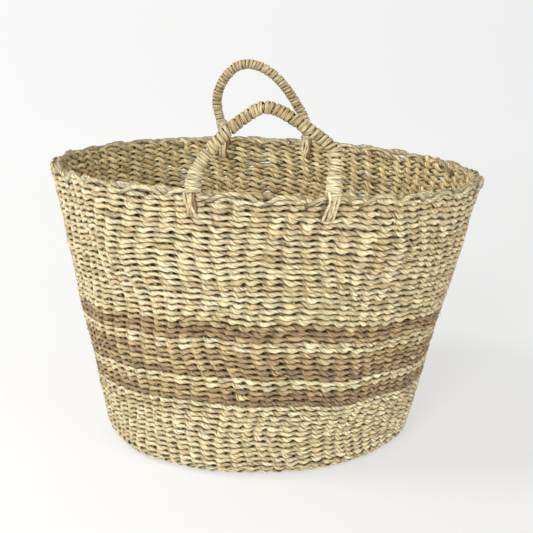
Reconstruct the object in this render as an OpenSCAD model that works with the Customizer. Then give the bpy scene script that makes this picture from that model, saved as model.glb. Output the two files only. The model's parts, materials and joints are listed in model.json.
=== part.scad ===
// Seagrass storage basket: a twined oval tub with three brown stripes and two wrapped rope handles.
// Millimetres, +Z up. The origin is on the ground, below the middle of the rim.

/* [Body] */
// Width of the rim from left to right, over the outside of the wall
rim_width = 500; // [420:5:560]
// Depth of the rim from front to back, over the outside of the wall
rim_depth = 456; // [400:4:520]
// Mean height of the rim above the ground
rim_height = 318; // [260:2:360]
// Diameter of the foot, over the outside of the wall
base_diameter = 352; // [300:4:380]
// How far the foot sits to the left of the rim's middle
base_shift = 13; // [0:1:20]
// Thickness of the wall and the floor
wall_thickness = 11; // [10:0.5:14]
// Outside radius of the heel, where the floor turns up into the wall
heel_radius = 20; // [18:1:26]

/* [Hand-made unevenness] */
// How far the rim drops on the right and rises on the left
rim_tilt = 9; // [0:1:12]
// How far the rim drops on both sides, against the front and the back
rim_saddle = 2.5; // [0:0.5:5]
// Share of the wall's height that the rows sag by on both sides
row_sag = 0.045; // [0:0.005:0.07]
// Further share of the height that the rows sag by on the right
row_tilt = 0.01; // [0:0.005:0.02]

/* [Weave] */
// Number of upright stakes in the wall
stake_count = 76; // [60:4:84]
// Diameter of a stake
stake_diameter = 4; // [3:0.5:4.5]
// Rows of plain weave below the stripes
lower_rows = 11; // [8:1:14]
// Rows in the lower brown stripe
lower_brown_rows = 3; // [2:1:5]
// Rows of plain weave between the lower and the middle stripe
lower_natural_rows = 2; // [1:1:4]
// Rows in the middle brown stripe
middle_brown_rows = 5; // [3:1:7]
// Rows of plain weave between the middle and the upper stripe
upper_natural_rows = 2; // [1:1:4]
// Rows in the upper brown stripe
upper_brown_rows = 3; // [2:1:5]
// Rows of plain weave above the stripes
upper_rows = 21; // [16:1:26]

/* [Base] */
// Diameter of the woven centre of the floor
base_centre_diameter = 120; // [100:5:150]
// Number of spokes that run out from the centre
spoke_count = 38; // [30:1:42]
// Diameter of a spoke and of a cross rod
spoke_diameter = 3.6; // [3:0.2:4]
// Rods in each layer of the centre cross
cross_rods = 6; // [4:1:6]

/* [Rim] */
// Height of the rolled border on top of the wall
border_height = 11; // [10:1:13]
// How far the border stands out past each face of the wall
border_proud = 1.3; // [0.5:0.1:1.5]

/* [Handles] */
// Diameter of a handle over its wrapping
handle_diameter = 12.6; // [12:0.2:14]
// Diameter of the bundle of cords inside the wrapping
core_diameter = 8.4; // [7:0.2:9]
// Diameter of the tight whipping at each foot of a handle
whipping_diameter = 14.8; // [14.6:0.2:15]
// Inward lean of the front handle as it stands
front_lean = 7; // [0:1:12]
// Inward lean of the back handle as it stands
back_lean = 4; // [0:1:12]
// Diameter of one of the cords that tie a handle's foot to the rim
foot_cord_diameter = 3.8; // [3:0.2:3.8]

/* [Hidden] */

// Colours
straw = [0.84, 0.77, 0.59];
brown = [0.59, 0.49, 0.37];
reed = [0.70, 0.60, 0.42];
pale = [0.88, 0.82, 0.67];

// Derived sizes of the body
base_r = base_diameter / 2;
half_width = rim_width / 2;
half_depth = rim_depth / 2;
half_wall = wall_thickness / 2;
pitch_angle = 360 / stake_count;
stake_angles = [for (i = [0:stake_count - 1]) (i + 0.5) * pitch_angle];
ring_angles = [for (i = [0:stake_count - 1]) i * pitch_angle];

// Small gaps between neighbouring solids
fit_gap = 0.1;
floor_gap = 0.5;

// Heights where the bands of the wall begin and end, counted in rows from the heel
band_rows = [lower_rows, lower_brown_rows, lower_natural_rows, middle_brown_rows,
             upper_natural_rows, upper_brown_rows, upper_rows];
function rows_below(i) = i == 0 ? 0 : band_rows[i - 1] + rows_below(i - 1);
row_total = rows_below(len(band_rows));

// Height of the rim at an angle; 0 is on the right and -90 is at the front
function rim_z(a) = rim_height - rim_tilt * cos(a) - rim_saddle * cos(2 * a);

// A point on the wall at an angle and a height, set in from the outer face
function wall_point(a, z, inset) =
    let (up = z / rim_z(a),
         rx = base_r + (half_width - base_r) * up,
         ry = base_r + (half_depth - base_r) * up)
    [(rx - inset) * cos(a) - base_shift * (1 - up), (ry - inset) * sin(a), z];

// A point on the heel: turn 0 is flat on the floor and turn 90 is where the wall begins
function heel_point(a, turn, inset) =
    wall_point(a, heel_radius, heel_radius)
    + (heel_radius - inset) * [sin(turn) * cos(a), sin(turn) * sin(a), -cos(turn)];

// Height of a row's lower edge, as the share of the wall between the heel and the border
function row_share(a, rows) =
    let (s = rows / row_total)
    s - 4 * s * (1 - s) * (row_sag * pow(cos(a), 2) + row_tilt * cos(a));
function row_z(a, rows) =
    heel_radius + (rim_z(a) - border_height - heel_radius) * row_share(a, rows);

// The middle of the floor
floor_centre = -base_shift * (1 - heel_radius / rim_height);
floor_r = base_r + (half_depth - base_r) * heel_radius / rim_height - heel_radius - floor_gap;
floor_middle_z = half_wall;

// ---- Solids from rings of points ----

function quad(a, b, c, d) = [[a, b, c], [a, c, d]];

// A solid that closes on itself, from equal sections placed one after another
module ring_solid(sections) {
    n = len(sections);
    m = len(sections[0]);
    polyhedron(
        points = [for (s = sections) each s],
        faces = [for (i = [0:n - 1], j = [0:m - 1])
            let (i2 = (i + 1) % n, j2 = (j + 1) % m)
            each quad(i * m + j, i * m + j2, i2 * m + j2, i2 * m + j)]);
}

// A solid with two flat ends, from equal convex sections placed one after another
module rod_solid(sections) {
    n = len(sections);
    m = len(sections[0]);
    polyhedron(
        points = [for (s = sections) each s],
        faces = [
            for (i = [0:n - 2], j = [0:m - 1])
                let (j2 = (j + 1) % m)
                each quad(i * m + j, i * m + j2, (i + 1) * m + j2, (i + 1) * m + j),
            for (j = [1:m - 2]) [0, j + 1, j],
            for (j = [1:m - 2]) [(n - 1) * m, (n - 1) * m + j, (n - 1) * m + j + 1]]);
}

// Unit vector
function unit(v) = v / norm(v);

// Direction of a path at point i
function path_way(path, i, closed) =
    let (n = len(path),
         before = closed ? (i + n - 1) % n : max(i - 1, 0),
         after = closed ? (i + 1) % n : min(i + 1, n - 1))
    unit(path[after] - path[before]);

// Round sections along a path that lies in the plane square to the direction side
function round_sections(path, side, r, sides, closed = false) =
    [for (i = [0:len(path) - 1])
        let (out = cross(path_way(path, i, closed), side))
        [for (k = [0:sides - 1])
            path[i] + r * (cos(360 * k / sides) * out - sin(360 * k / sides) * side)]];

// A pipe along a path: the outer sections, and the inner ones in the opposite order
module pipe_solid(outer, inner) {
    m = len(outer[0]);
    joined = [for (i = [0:m - 1])
        concat([for (s = outer) s[i]], [for (j = [len(inner) - 1:-1:0]) inner[j][i]])];
    ring_solid(joined);
}

// ---- Wall ----

// One band of the wall between two rows
module wall_band(i) {
    low = rows_below(i);
    high = rows_below(i + 1);
    ring_solid([for (a = ring_angles)
        let (low_z = row_z(a, low) + fit_gap, high_z = row_z(a, high) - fit_gap) [
            wall_point(a, low_z, 0),
            wall_point(a, high_z, 0),
            wall_point(a, high_z, wall_thickness),
            wall_point(a, low_z, wall_thickness)]]);
}

module heel_weave() {
    turns = [0:22.5:90];
    color(straw)
    ring_solid([for (a = ring_angles) concat(
        [for (turn = turns) heel_point(a, turn, 0)],
        [for (turn = turns) heel_point(a, 90 - turn, wall_thickness)])]);
}

module lower_wall_weave() {
    color(straw) wall_band(0);
}

module lower_brown_stripe() {
    color(brown) wall_band(1);
}

module lower_natural_stripe() {
    color(straw) wall_band(2);
}

module middle_brown_stripe() {
    color(brown) wall_band(3);
}

module upper_natural_stripe() {
    color(straw) wall_band(4);
}

module upper_brown_stripe() {
    color(brown) wall_band(5);
}

module upper_wall_weave() {
    color(straw) wall_band(6);
}

// The bent-over ends of the stakes, as one roll on top of the wall
module rim_border() {
    wide = half_wall + border_proud;
    // Distance out from the middle of the wall, and height below the rim
    outer_side = [[half_wall, -border_height], [wide, -8], [wide, -4.5], [wide - 2, -1.2], [1.6, 0]];
    profile = concat(outer_side, [for (k = [4:-1:0]) [-outer_side[k][0], outer_side[k][1]]]);
    color(straw)
    ring_solid([for (a = ring_angles) [
        for (p = profile) wall_point(a, rim_z(a) + p[1], half_wall - p[0])]]);
}

// Stakes: each starts between the spokes of the floor, turns up at the heel and ends in the border
module warp_stakes() {
    inner_r = 110;
    top_cover = 6;
    color(reed)
    for (a = stake_angles) {
        path = concat(
            [[floor_centre + inner_r * cos(a), inner_r * sin(a), floor_middle_z]],
            [for (turn = [0:45:90]) heel_point(a, turn, half_wall)],
            [wall_point(a, rim_z(a) - top_cover, half_wall)]);
        rod_solid(round_sections(path, [-sin(a), cos(a), 0], stake_diameter / 2, 6));
    }
}

// ---- Floor ----

module floor_disc(r) {
    translate([floor_centre, 0, 0])
    cylinder(h = wall_thickness, r = r, $fn = 96);
}

module base_centre_weave() {
    color(straw) floor_disc(base_centre_diameter / 2);
}

module base_outer_weave() {
    color(straw)
    difference() {
        floor_disc(floor_r);
        translate([floor_centre, 0, -1])
        cylinder(h = wall_thickness + 2, r = base_centre_diameter / 2 + fit_gap, $fn = 96);
    }
}

// Two crossed layers of short rods that the weaving starts on
module base_cross() {
    rod_length = 50;
    rod_pitch = 7;
    color(reed)
    for (layer = [-1, 1], k = [0:cross_rods - 1])
        translate([floor_centre, 0, floor_middle_z + layer * (spoke_diameter / 2 + 0.3)])
        rotate([0, 0, layer > 0 ? 90 : 0])
        translate([-rod_length / 2, (k - (cross_rods - 1) / 2) * rod_pitch, 0])
        rotate([0, 90, 0])
        cylinder(h = rod_length, d = spoke_diameter, $fn = 24);
}

module base_spokes() {
    inner_r = 36;
    end_gap = 4;
    color(reed)
    for (k = [0:spoke_count - 1])
        translate([floor_centre, 0, floor_middle_z])
        rotate([0, 0, k * 360 / spoke_count])
        translate([inner_r, 0, 0])
        rotate([0, 90, 0])
        cylinder(h = floor_r - inner_r - end_gap, d = spoke_diameter, $fn = 24);
}

// ---- Handles ----

// Each handle is drawn in its own plane: across, and up from its hinge line.
// Its first and last two stretches are the bare foot and the whipping.
front_route = [[-68, 0], [-65, 10], [-56, 26], [-43, 42], [-25, 59], [-4, 73], [15, 70],
               [40, 56], [56, 46], [67, 37], [71, 27], [71, 10], [71, 0]];
back_route = [[-58, 0], [-62, 10], [-67, 27], [-68, 44], [-62, 63], [-48, 81], [-30, 88],
              [-10, 84], [8, 73], [26, 54], [39, 35], [46, 25], [53, 10], [54, 0]];
curve_steps = 3;

// Middle of each hinge line, and how far the line falls to the right
front_hinge = [-5, -213, 330];
front_fall = 2.7;
back_hinge = [0, 217, 329];
back_fall = 2.5;

// Angles round the basket where the feet stand on the rim
front_left_angle = 252;
front_right_angle = 286;
back_left_angle = 104;
back_right_angle = 77;

// A smooth curve through the points of a route
function route_tangent(route, i) =
    (route[min(i + 1, len(route) - 1)] - route[max(i - 1, 0)]) / 2;
function smooth_point(route, i, t) =
    let (p = route[i], q = route[i + 1],
         u = route_tangent(route, i), v = route_tangent(route, i + 1))
    p * (2 * t ^ 3 - 3 * t ^ 2 + 1) + u * (t ^ 3 - 2 * t ^ 2 + t)
    + q * (3 * t ^ 2 - 2 * t ^ 3) + v * (t ^ 3 - t ^ 2);
function smooth_route(route, from, to) =
    [for (i = [from:to], k = [0:curve_steps - 1])
        if (i < to || k == 0)
        let (p = i == len(route) - 1 ? route[i] : smooth_point(route, i, k / curve_steps))
        [p[0], 0, p[1]]];

module stand_handle(hinge, fall, lean) {
    translate(hinge)
    rotate([0, fall, 0])
    rotate([lean, 0, 0])
    children();
}

module handle_core(route) {
    path = smooth_route(route, 0, len(route) - 1);
    rod_solid(round_sections(path, [0, 1, 0], core_diameter / 2, 10));
}

module handle_sleeve(route, from, to, outer_d, inner_d) {
    path = smooth_route(route, from, to);
    pipe_solid(round_sections(path, [0, 1, 0], outer_d / 2, 10),
               round_sections(path, [0, 1, 0], inner_d / 2, 10));
}

module handle_wrap(route) {
    handle_sleeve(route, 1, len(route) - 2, handle_diameter, core_diameter + 2 * fit_gap);
}

module whipping(route, first) {
    handle_sleeve(route, first, first + 1, whipping_diameter, handle_diameter + 2 * fit_gap);
}

module front_handle_core() {
    color(reed) stand_handle(front_hinge, front_fall, -front_lean) handle_core(front_route);
}

module front_handle_wrap() {
    color(pale) stand_handle(front_hinge, front_fall, -front_lean) handle_wrap(front_route);
}

module front_left_whipping() {
    color(pale) stand_handle(front_hinge, front_fall, -front_lean) whipping(front_route, 1);
}

module front_right_whipping() {
    color(pale)
    stand_handle(front_hinge, front_fall, -front_lean)
    whipping(front_route, len(front_route) - 3);
}

module back_handle_core() {
    color(reed) stand_handle(back_hinge, back_fall, back_lean) handle_core(back_route);
}

module back_handle_wrap() {
    color(pale) stand_handle(back_hinge, back_fall, back_lean) handle_wrap(back_route);
}

module back_left_whipping() {
    color(pale) stand_handle(back_hinge, back_fall, back_lean) whipping(back_route, 1);
}

module back_right_whipping() {
    color(pale)
    stand_handle(back_hinge, back_fall, back_lean)
    whipping(back_route, len(back_route) - 3);
}

// Three cords that go round the border and through the wall below it, and hold one foot
module foot_cords(a) {
    cords = 3;
    along = [-sin(a), cos(a), 0];
    // Distance out from the middle of the wall, and height above the rim
    outside = [[5, 1.8], [8.8, -2], [9.3, -8], [8, -14], [7.8, -22], [5, -27]];
    loop = concat([[0, 2.6]], outside, [[0, -28]], [for (k = [5:-1:0]) [-outside[k][0], outside[k][1]]]);
    color(reed)
    for (k = [0:cords - 1]) {
        offset_along = (k - (cords - 1) / 2) * (foot_cord_diameter + 0.3);
        path = [for (p = loop)
            wall_point(a, rim_z(a) + p[1], half_wall - p[0]) + offset_along * along];
        ring_solid(round_sections(path, along, foot_cord_diameter / 2, 6, true));
    }
}

module front_left_foot_cords() {
    foot_cords(front_left_angle);
}

module front_right_foot_cords() {
    foot_cords(front_right_angle);
}

module back_left_foot_cords() {
    foot_cords(back_left_angle);
}

module back_right_foot_cords() {
    foot_cords(back_right_angle);
}

base_cross();
base_spokes();
base_centre_weave();
base_outer_weave();
heel_weave();
lower_wall_weave();
lower_brown_stripe();
lower_natural_stripe();
middle_brown_stripe();
upper_natural_stripe();
upper_brown_stripe();
upper_wall_weave();
rim_border();
warp_stakes();
front_left_foot_cords();
front_right_foot_cords();
back_left_foot_cords();
back_right_foot_cords();
front_handle_core();
front_handle_wrap();
front_left_whipping();
front_right_whipping();
back_handle_core();
back_handle_wrap();
back_left_whipping();
back_right_whipping();
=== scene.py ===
"""Seagrass storage basket: twined strands round upright stakes, a bent-over border and two wound handles.

Every strand is a swept mesh. All lengths are in metres, and the basket's sizes are the CAD model's.
"""

import json
import math

import bpy
import numpy as np
from mathutils import Matrix, Vector


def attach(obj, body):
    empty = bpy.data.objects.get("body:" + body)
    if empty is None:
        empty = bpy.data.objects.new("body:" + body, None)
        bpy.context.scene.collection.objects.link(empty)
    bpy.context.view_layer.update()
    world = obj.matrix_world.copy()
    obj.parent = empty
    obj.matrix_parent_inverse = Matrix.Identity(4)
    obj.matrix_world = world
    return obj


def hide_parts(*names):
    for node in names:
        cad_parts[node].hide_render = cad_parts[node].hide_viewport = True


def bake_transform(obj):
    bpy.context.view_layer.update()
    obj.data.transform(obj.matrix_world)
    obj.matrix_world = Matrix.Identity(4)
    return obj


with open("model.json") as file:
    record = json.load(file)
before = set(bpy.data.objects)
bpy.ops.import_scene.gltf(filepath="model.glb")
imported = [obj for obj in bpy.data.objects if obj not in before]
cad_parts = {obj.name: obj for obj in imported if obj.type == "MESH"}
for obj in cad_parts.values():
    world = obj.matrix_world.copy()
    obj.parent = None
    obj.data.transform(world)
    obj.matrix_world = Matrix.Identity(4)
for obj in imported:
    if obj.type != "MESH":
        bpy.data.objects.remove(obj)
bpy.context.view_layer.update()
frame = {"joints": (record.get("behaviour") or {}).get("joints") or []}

# ---- Sizes of the body, in metres, as the CAD model has them ----

HALF_WIDTH = 0.250
HALF_DEPTH = 0.228
BASE_R = 0.176
BASE_SHIFT = 0.013
RIM_HEIGHT = 0.318
RIM_TILT = 0.009
RIM_SADDLE = 0.0025
HALF_WALL = 0.0055
HEEL_R = 0.020
BORDER_HEIGHT = 0.011
ROW_SAG = 0.045
ROW_TILT = 0.01

STAKES = 76
WALL_ROWS = 47
HEEL_ROWS = 4
FLOOR_ROWS = 21
FLOOR_PITCH = 0.0062
FLOOR_CENTRE_X = -BASE_SHIFT * (1 - HEEL_R / RIM_HEIGHT)

# How far hand work strays from the even shape
DRIFT_ALONG = 0.28  # of a stake's spacing
DRIFT_UP = 0.22  # of a row
DRIFT_OUT = 0.0011
FLOOR_DRIFT = 0.25  # the share of it that is left under the floor

# ---- Camera, light and floor ----

CAMERA_PLACE = (-0.001, -1.400, 0.5235)
CAMERA_DOWN = math.radians(13.24)
SENSOR = 36.0
LENS = 81.8

# Painted light: the paper under and behind the basket glows a little, more on the left and far away, in
# place of lamp light falling on it
PAPER_FADE = 0.22  # sideways over distance from the camera
PAPER_GLOW = (0.590, 0.500)
PAPER_FAR = (-0.2, 2.6)
PAPER_FAR_GLOW = 0.14
PAPER_GREY = 0.35
PAPER_ROUGHNESS = 0.9

# The backdrop: half its width, how far behind the basket it starts to curve up, that curve, and its top
BACKDROP_HALF = 9.0
BACKDROP_AWAY = 4.5
BACKDROP_R = 2.5
BACKDROP_TOP = 8.0
BACKDROP_STEPS = 24

SKY_COLOUR = (1.0, 0.99, 0.975, 1)
SKY_STRENGTH = 0.46
LIGHT_TARGET = (0, 0, 0.17)
# Name, place, diameter, power in watts, colour
LIGHTS = [
    ("left_high", (-1.5, -0.45, 2.3), 0.8, 23, (1.0, 0.99, 0.97)),
    ("left_low", (-2.3, -0.9, 0.75), 1.1, 12, (1.0, 0.99, 0.97)),
    ("front", (-0.7, -2.9, 1.6), 1.0, 48, (1.0, 0.99, 0.965)),
    ("front_right", (1.7, -2.3, 1.1), 1.6, 25, (1.0, 0.99, 0.98)),
]


def make_camera():
    data = bpy.data.cameras.new("camera")
    data.sensor_width = SENSOR
    data.lens = LENS
    camera = bpy.data.objects.new("camera", data)
    camera.location = CAMERA_PLACE
    camera.rotation_euler = (math.pi / 2 - CAMERA_DOWN, 0, 0)
    bpy.context.scene.collection.objects.link(camera)
    bpy.context.scene.camera = camera


def make_lamp(name, place, size, power, colour):
    data = bpy.data.lights.new(name, "AREA")
    data.shape = "DISK"
    data.size = size
    data.energy = power
    data.color = colour
    light = bpy.data.objects.new(name, data)
    light.location = place
    way = Vector(LIGHT_TARGET) - Vector(place)
    light.rotation_euler = way.to_track_quat("-Z", "Y").to_euler()
    bpy.context.scene.collection.objects.link(light)


def make_lights():
    world = bpy.data.worlds.new("studio")
    world.use_nodes = True
    background = world.node_tree.nodes["Background"]
    background.inputs["Color"].default_value = SKY_COLOUR
    background.inputs["Strength"].default_value = SKY_STRENGTH
    bpy.context.scene.world = world
    for lamp in LIGHTS:
        make_lamp(*lamp)
    view = bpy.context.scene.view_settings
    view.view_transform = "Standard"
    view.look = "None"
    view.exposure = 0
    view.gamma = 1


def make_floor():
    """A floor that curves up into a backdrop far behind the basket, and glows a little with painted light
    like lit paper.
    """
    outline = [(-BACKDROP_HALF, 0.0), (BACKDROP_AWAY, 0.0)]
    for k in range(1, BACKDROP_STEPS + 1):
        turn = math.pi / 2 * k / BACKDROP_STEPS
        y = BACKDROP_AWAY + BACKDROP_R * math.sin(turn)
        outline.append((y, BACKDROP_R * (1 - math.cos(turn))))
    outline.append((BACKDROP_AWAY + BACKDROP_R, BACKDROP_TOP))
    points = [(x, y, z) for y, z in outline for x in (-BACKDROP_HALF, BACKDROP_HALF)]
    faces = [(2 * k, 2 * k + 1, 2 * k + 3, 2 * k + 2) for k in range(len(outline) - 1)]
    mesh = bpy.data.meshes.new("floor")
    mesh.from_pydata(points, [], faces)
    mesh.shade_smooth()
    floor = bpy.data.objects.new("floor", mesh)
    bpy.context.scene.collection.objects.link(floor)
    material = bpy.data.materials.new("studio_paper")
    material.use_nodes = True
    nodes = material.node_tree.nodes
    links = material.node_tree.links
    shader = nodes["Principled BSDF"]
    shader.inputs["Base Color"].default_value = (PAPER_GREY, PAPER_GREY, PAPER_GREY, 1)
    shader.inputs["Roughness"].default_value = PAPER_ROUGHNESS
    shader.inputs["Specular IOR Level"].default_value = 0.0
    shader.inputs["Emission Strength"].default_value = 1.0
    place = nodes.new("ShaderNodeNewGeometry")
    split = nodes.new("ShaderNodeSeparateXYZ")
    links.new(place.outputs["Position"], split.inputs["Vector"])
    away = nodes.new("ShaderNodeMath")
    away.operation = "SUBTRACT"
    away.inputs[1].default_value = CAMERA_PLACE[1]
    links.new(split.outputs["Y"], away.inputs[0])
    slope = nodes.new("ShaderNodeMath")
    slope.operation = "DIVIDE"
    links.new(split.outputs["X"], slope.inputs[0])
    links.new(away.outputs["Value"], slope.inputs[1])
    across = nodes.new("ShaderNodeMapRange")
    across.inputs["From Min"].default_value = -PAPER_FADE
    across.inputs["From Max"].default_value = PAPER_FADE
    across.inputs["To Min"].default_value = PAPER_GLOW[0]
    across.inputs["To Max"].default_value = PAPER_GLOW[1]
    links.new(slope.outputs["Value"], across.inputs["Value"])
    far = nodes.new("ShaderNodeMapRange")
    far.inputs["From Min"].default_value = PAPER_FAR[0]
    far.inputs["From Max"].default_value = PAPER_FAR[1]
    far.inputs["To Max"].default_value = PAPER_FAR_GLOW
    links.new(split.outputs["Y"], far.inputs["Value"])
    glow = nodes.new("ShaderNodeMath")
    links.new(across.outputs["Result"], glow.inputs[0])
    links.new(far.outputs["Result"], glow.inputs[1])
    # Painted light: the paper's glow stands in for lamp light, brighter on the left and far away
    links.new(glow.outputs["Value"], shader.inputs["Emission Color"])
    mesh.materials.append(material)


# ---- Shape of the weave ----


def unit(v):
    return v / np.linalg.norm(v, axis=-1, keepdims=True)


def rim_z(a):
    """Height of the rim at an angle; 0 is on the right and -90 degrees is at the front."""
    return RIM_HEIGHT - RIM_TILT * np.cos(a) - RIM_SADDLE * np.cos(2 * a)


def wall_point(a, z, inset):
    """A point on the wall at an angle and a height, set in from the outer face."""
    up = z / rim_z(a)
    rx = BASE_R + (HALF_WIDTH - BASE_R) * up
    ry = BASE_R + (HALF_DEPTH - BASE_R) * up
    x = (rx - inset) * np.cos(a) - BASE_SHIFT * (1 - up)
    return np.stack([x, (ry - inset) * np.sin(a), z + 0 * x], -1)


def row_z(a, rows):
    """Height of a row's lower edge."""
    s = rows / WALL_ROWS
    share = s - 4 * s * (1 - s) * (ROW_SAG * np.cos(a) ** 2 + ROW_TILT * np.cos(a))
    return HEEL_R + (rim_z(a) - BORDER_HEIGHT - HEEL_R) * share


def skin(a, row):
    """A point half-way through the weave, at an angle and a row.

    Rows count up the wall from 0. Below 0 they go round the heel and in over the floor.
    """
    wall = wall_point(a, row_z(a, np.maximum(row, 0)), HALF_WALL)
    turn = np.clip(1 + row / HEEL_ROWS, 0, 1) * math.pi / 2
    around = np.stack([np.sin(turn) * np.cos(a), np.sin(turn) * np.sin(a), -np.cos(turn)], -1)
    heel = wall_point(a, HEEL_R + 0 * a, HEEL_R) + (HEEL_R - HALF_WALL) * around
    centre = np.array([FLOOR_CENTRE_X, 0, HALF_WALL])
    reach = -np.minimum(row + HEEL_ROWS, 0) * FLOOR_PITCH
    floor = heel + unit(centre - heel) * reach[..., None]
    row = row[..., None]
    return np.where(row >= 0, wall, np.where(row >= -HEEL_ROWS, heel, floor))


def skin_frame(a, row):
    """A point of the skin, with its outward and upward directions there."""
    small_angle = 1e-4
    part_row = 1e-2
    along = unit(skin(a + small_angle, row) - skin(a - small_angle, row))
    up = unit(skin(a, row + part_row) - skin(a, row - part_row))
    out = unit(np.cross(along, up))
    return skin(a, row), out, np.cross(out, along)


FIELD_WAVES = 14
RIPPLE_WAVES = 12


def make_waves(seed, around, across):
    """A smooth uneven field over the skin, of size 1, made of waves that close round the basket.

    around is the fewest and the most waves in one round, and across the most radians from row to row.
    """
    rng = np.random.default_rng(seed)
    m = rng.integers(around[0], around[1] + 1, FIELD_WAVES)
    n = rng.uniform(-across, across, FIELD_WAVES)
    phase = rng.uniform(0, 2 * math.pi, FIELD_WAVES)

    def field(a, row):
        total = 0
        for k in range(FIELD_WAVES):
            total = total + np.cos(m[k] * a + n[k] * row + phase[k])
        return total * math.sqrt(2 / FIELD_WAVES)

    return field


stray_along = make_waves(11, (1, 12), 0.45)
stray_up = make_waves(12, (2, 16), 0.30)
stray_out = make_waves(13, (2, 14), 0.35)


def drift_share(row):
    """The share of the drift at a row: all of it on the wall, and less round the heel."""
    return np.clip(1 + row / HEEL_ROWS, FLOOR_DRIFT, 1)


def drift(a, row):
    """How far hand work moves a stitch: round the basket, as an angle, and up the wall, in rows."""
    fade = drift_share(row)
    wander = DRIFT_ALONG * stray_along(a, row) * 2 * math.pi / STAKES
    return wander * fade, DRIFT_UP * stray_up(a, row) * fade


def bulge(a, row):
    """How far the wall stands out of its even shape."""
    return DRIFT_OUT * stray_out(a, row) * drift_share(row)


def ripple(rng, strands, u, around, waves):
    """Uneven values of size 1 along each strand, at the places u, which repeat after a length of around.

    waves is the fewest and the most waves in that length.
    """
    total = np.zeros(u.shape)
    for _ in range(RIPPLE_WAVES):
        m = rng.integers(waves[0], waves[1] + 1, (strands, 1))
        total += np.cos(2 * math.pi * m * u / around + rng.uniform(0, 2 * math.pi, (strands, 1)))
    return total * math.sqrt(2 / RIPPLE_WAVES)


# ---- Colours ----


def linear(*seen):
    """A colour as it is seen, from 0 to 1, in the linear values that shaders use."""
    c = np.array(seen)
    return np.where(c <= 0.04045, c / 12.92, ((c + 0.055) / 1.055) ** 2.4)


STRAW = np.array([
    linear(0.95, 0.90, 0.77),
    linear(0.93, 0.88, 0.73),
    linear(0.93, 0.87, 0.73),
    linear(0.91, 0.86, 0.70),
    linear(0.91, 0.84, 0.69),
    linear(0.86, 0.78, 0.62),
])
BROWN = np.array([
    linear(0.73, 0.63, 0.48),
    linear(0.68, 0.58, 0.44),
    linear(0.77, 0.67, 0.51),
    linear(0.64, 0.55, 0.43),
    linear(0.82, 0.74, 0.57),
])
PALE = np.array([
    linear(0.80, 0.74, 0.60),
    linear(0.78, 0.72, 0.57),
    linear(0.75, 0.69, 0.54),
    linear(0.72, 0.64, 0.48),
])
WHIPPING = np.array([
    linear(0.87, 0.83, 0.71),
    linear(0.85, 0.80, 0.67),
    linear(0.82, 0.77, 0.64),
])
RUST = np.array([
    linear(0.54, 0.40, 0.28),
    linear(0.47, 0.33, 0.22),
    linear(0.61, 0.49, 0.36),
])
LOOSE = np.concatenate([STRAW, STRAW, RUST[:1]])
RUN_UNEVEN = (0.3, 1.7)  # the shortest and the longest run of one colour, against the mean


def dye_runs(rng, palette, strands, u, run):
    """Colour along each strand, in runs of one colour with uneven lengths about a mean length of run."""
    colour = np.empty(u.shape + (3,))
    span = u.max() - u.min() + 1
    for k in range(strands):
        count = max(2, int(2 * span / run) + 2)
        ends = u[k].min() + np.cumsum(rng.uniform(*RUN_UNEVEN, count) * run)
        picks = palette[rng.integers(0, len(palette), count + 1)]
        colour[k] = picks[np.searchsorted(ends, u[k])]
    return colour


# ---- Strand meshes ----

FLOOR_GAP = 0.0002
SIDES = 16  # of a strand's section

# A strand is a few blades twisted together, with grooves between them
GROOVE = 0.20  # how deep a groove is, as a share of half the strand's thickness
GROOVE_SHADE = 0.65  # painted shade: how much darker a groove of that depth is drawn
GROOVE_STEEP = 1.6  # how steeply a blade rises out of a groove
GROOVE_NARROW = 1.8  # how narrow the painted shade line in a groove is
BLADE_MEAN = 0.7  # a blade's mean height, from 0 in a groove to 1 on top, which keeps the section's size
GROOVE_FADE = 0.25  # how much shallower or deeper a groove gets here and there
GROOVE_FADE_TURNS = 0.37  # how often that comes round, in each turn of the fibres
SECTION_UNEVEN = 0.05  # how much a section bulges to one side
EDGE_SHADE_START = 0.72  # where the painted shade on the long edges of a section starts: the sine of the angle from its flat side


def mesh_object(name, points, quads, caps, material, attributes):
    """A smooth mesh of quads and end caps, with its point attributes."""
    mesh = bpy.data.meshes.new(name)
    loops = np.concatenate([quads.ravel(), caps.ravel()]).astype(np.int32)
    totals = np.concatenate([np.full(len(quads), 4), np.full(len(caps), caps.shape[1])]).astype(np.int32)
    starts = np.concatenate([[0], np.cumsum(totals)[:-1]]).astype(np.int32)
    mesh.vertices.add(len(points))
    mesh.vertices.foreach_set("co", points.astype(np.float32).ravel())
    mesh.loops.add(len(loops))
    mesh.loops.foreach_set("vertex_index", loops)
    mesh.polygons.add(len(totals))
    mesh.polygons.foreach_set("loop_start", starts)
    mesh.polygons.foreach_set("loop_total", totals)
    mesh.update(calc_edges=True)
    mesh.shade_smooth()
    for key, kind, field, values in attributes:
        layer = mesh.attributes.new(key, kind, "POINT")
        layer.data.foreach_set(field, values.astype(np.float32).ravel())
    mesh.validate()
    mesh.materials.append(material)
    made = bpy.data.objects.new(name, mesh)
    bpy.context.scene.collection.objects.link(made)
    return made


def length_along(path):
    """How far along each path its points are."""
    return np.cumsum(np.linalg.norm(np.diff(path, axis=1, prepend=path[:, :1]), axis=-1), axis=1)


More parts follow.
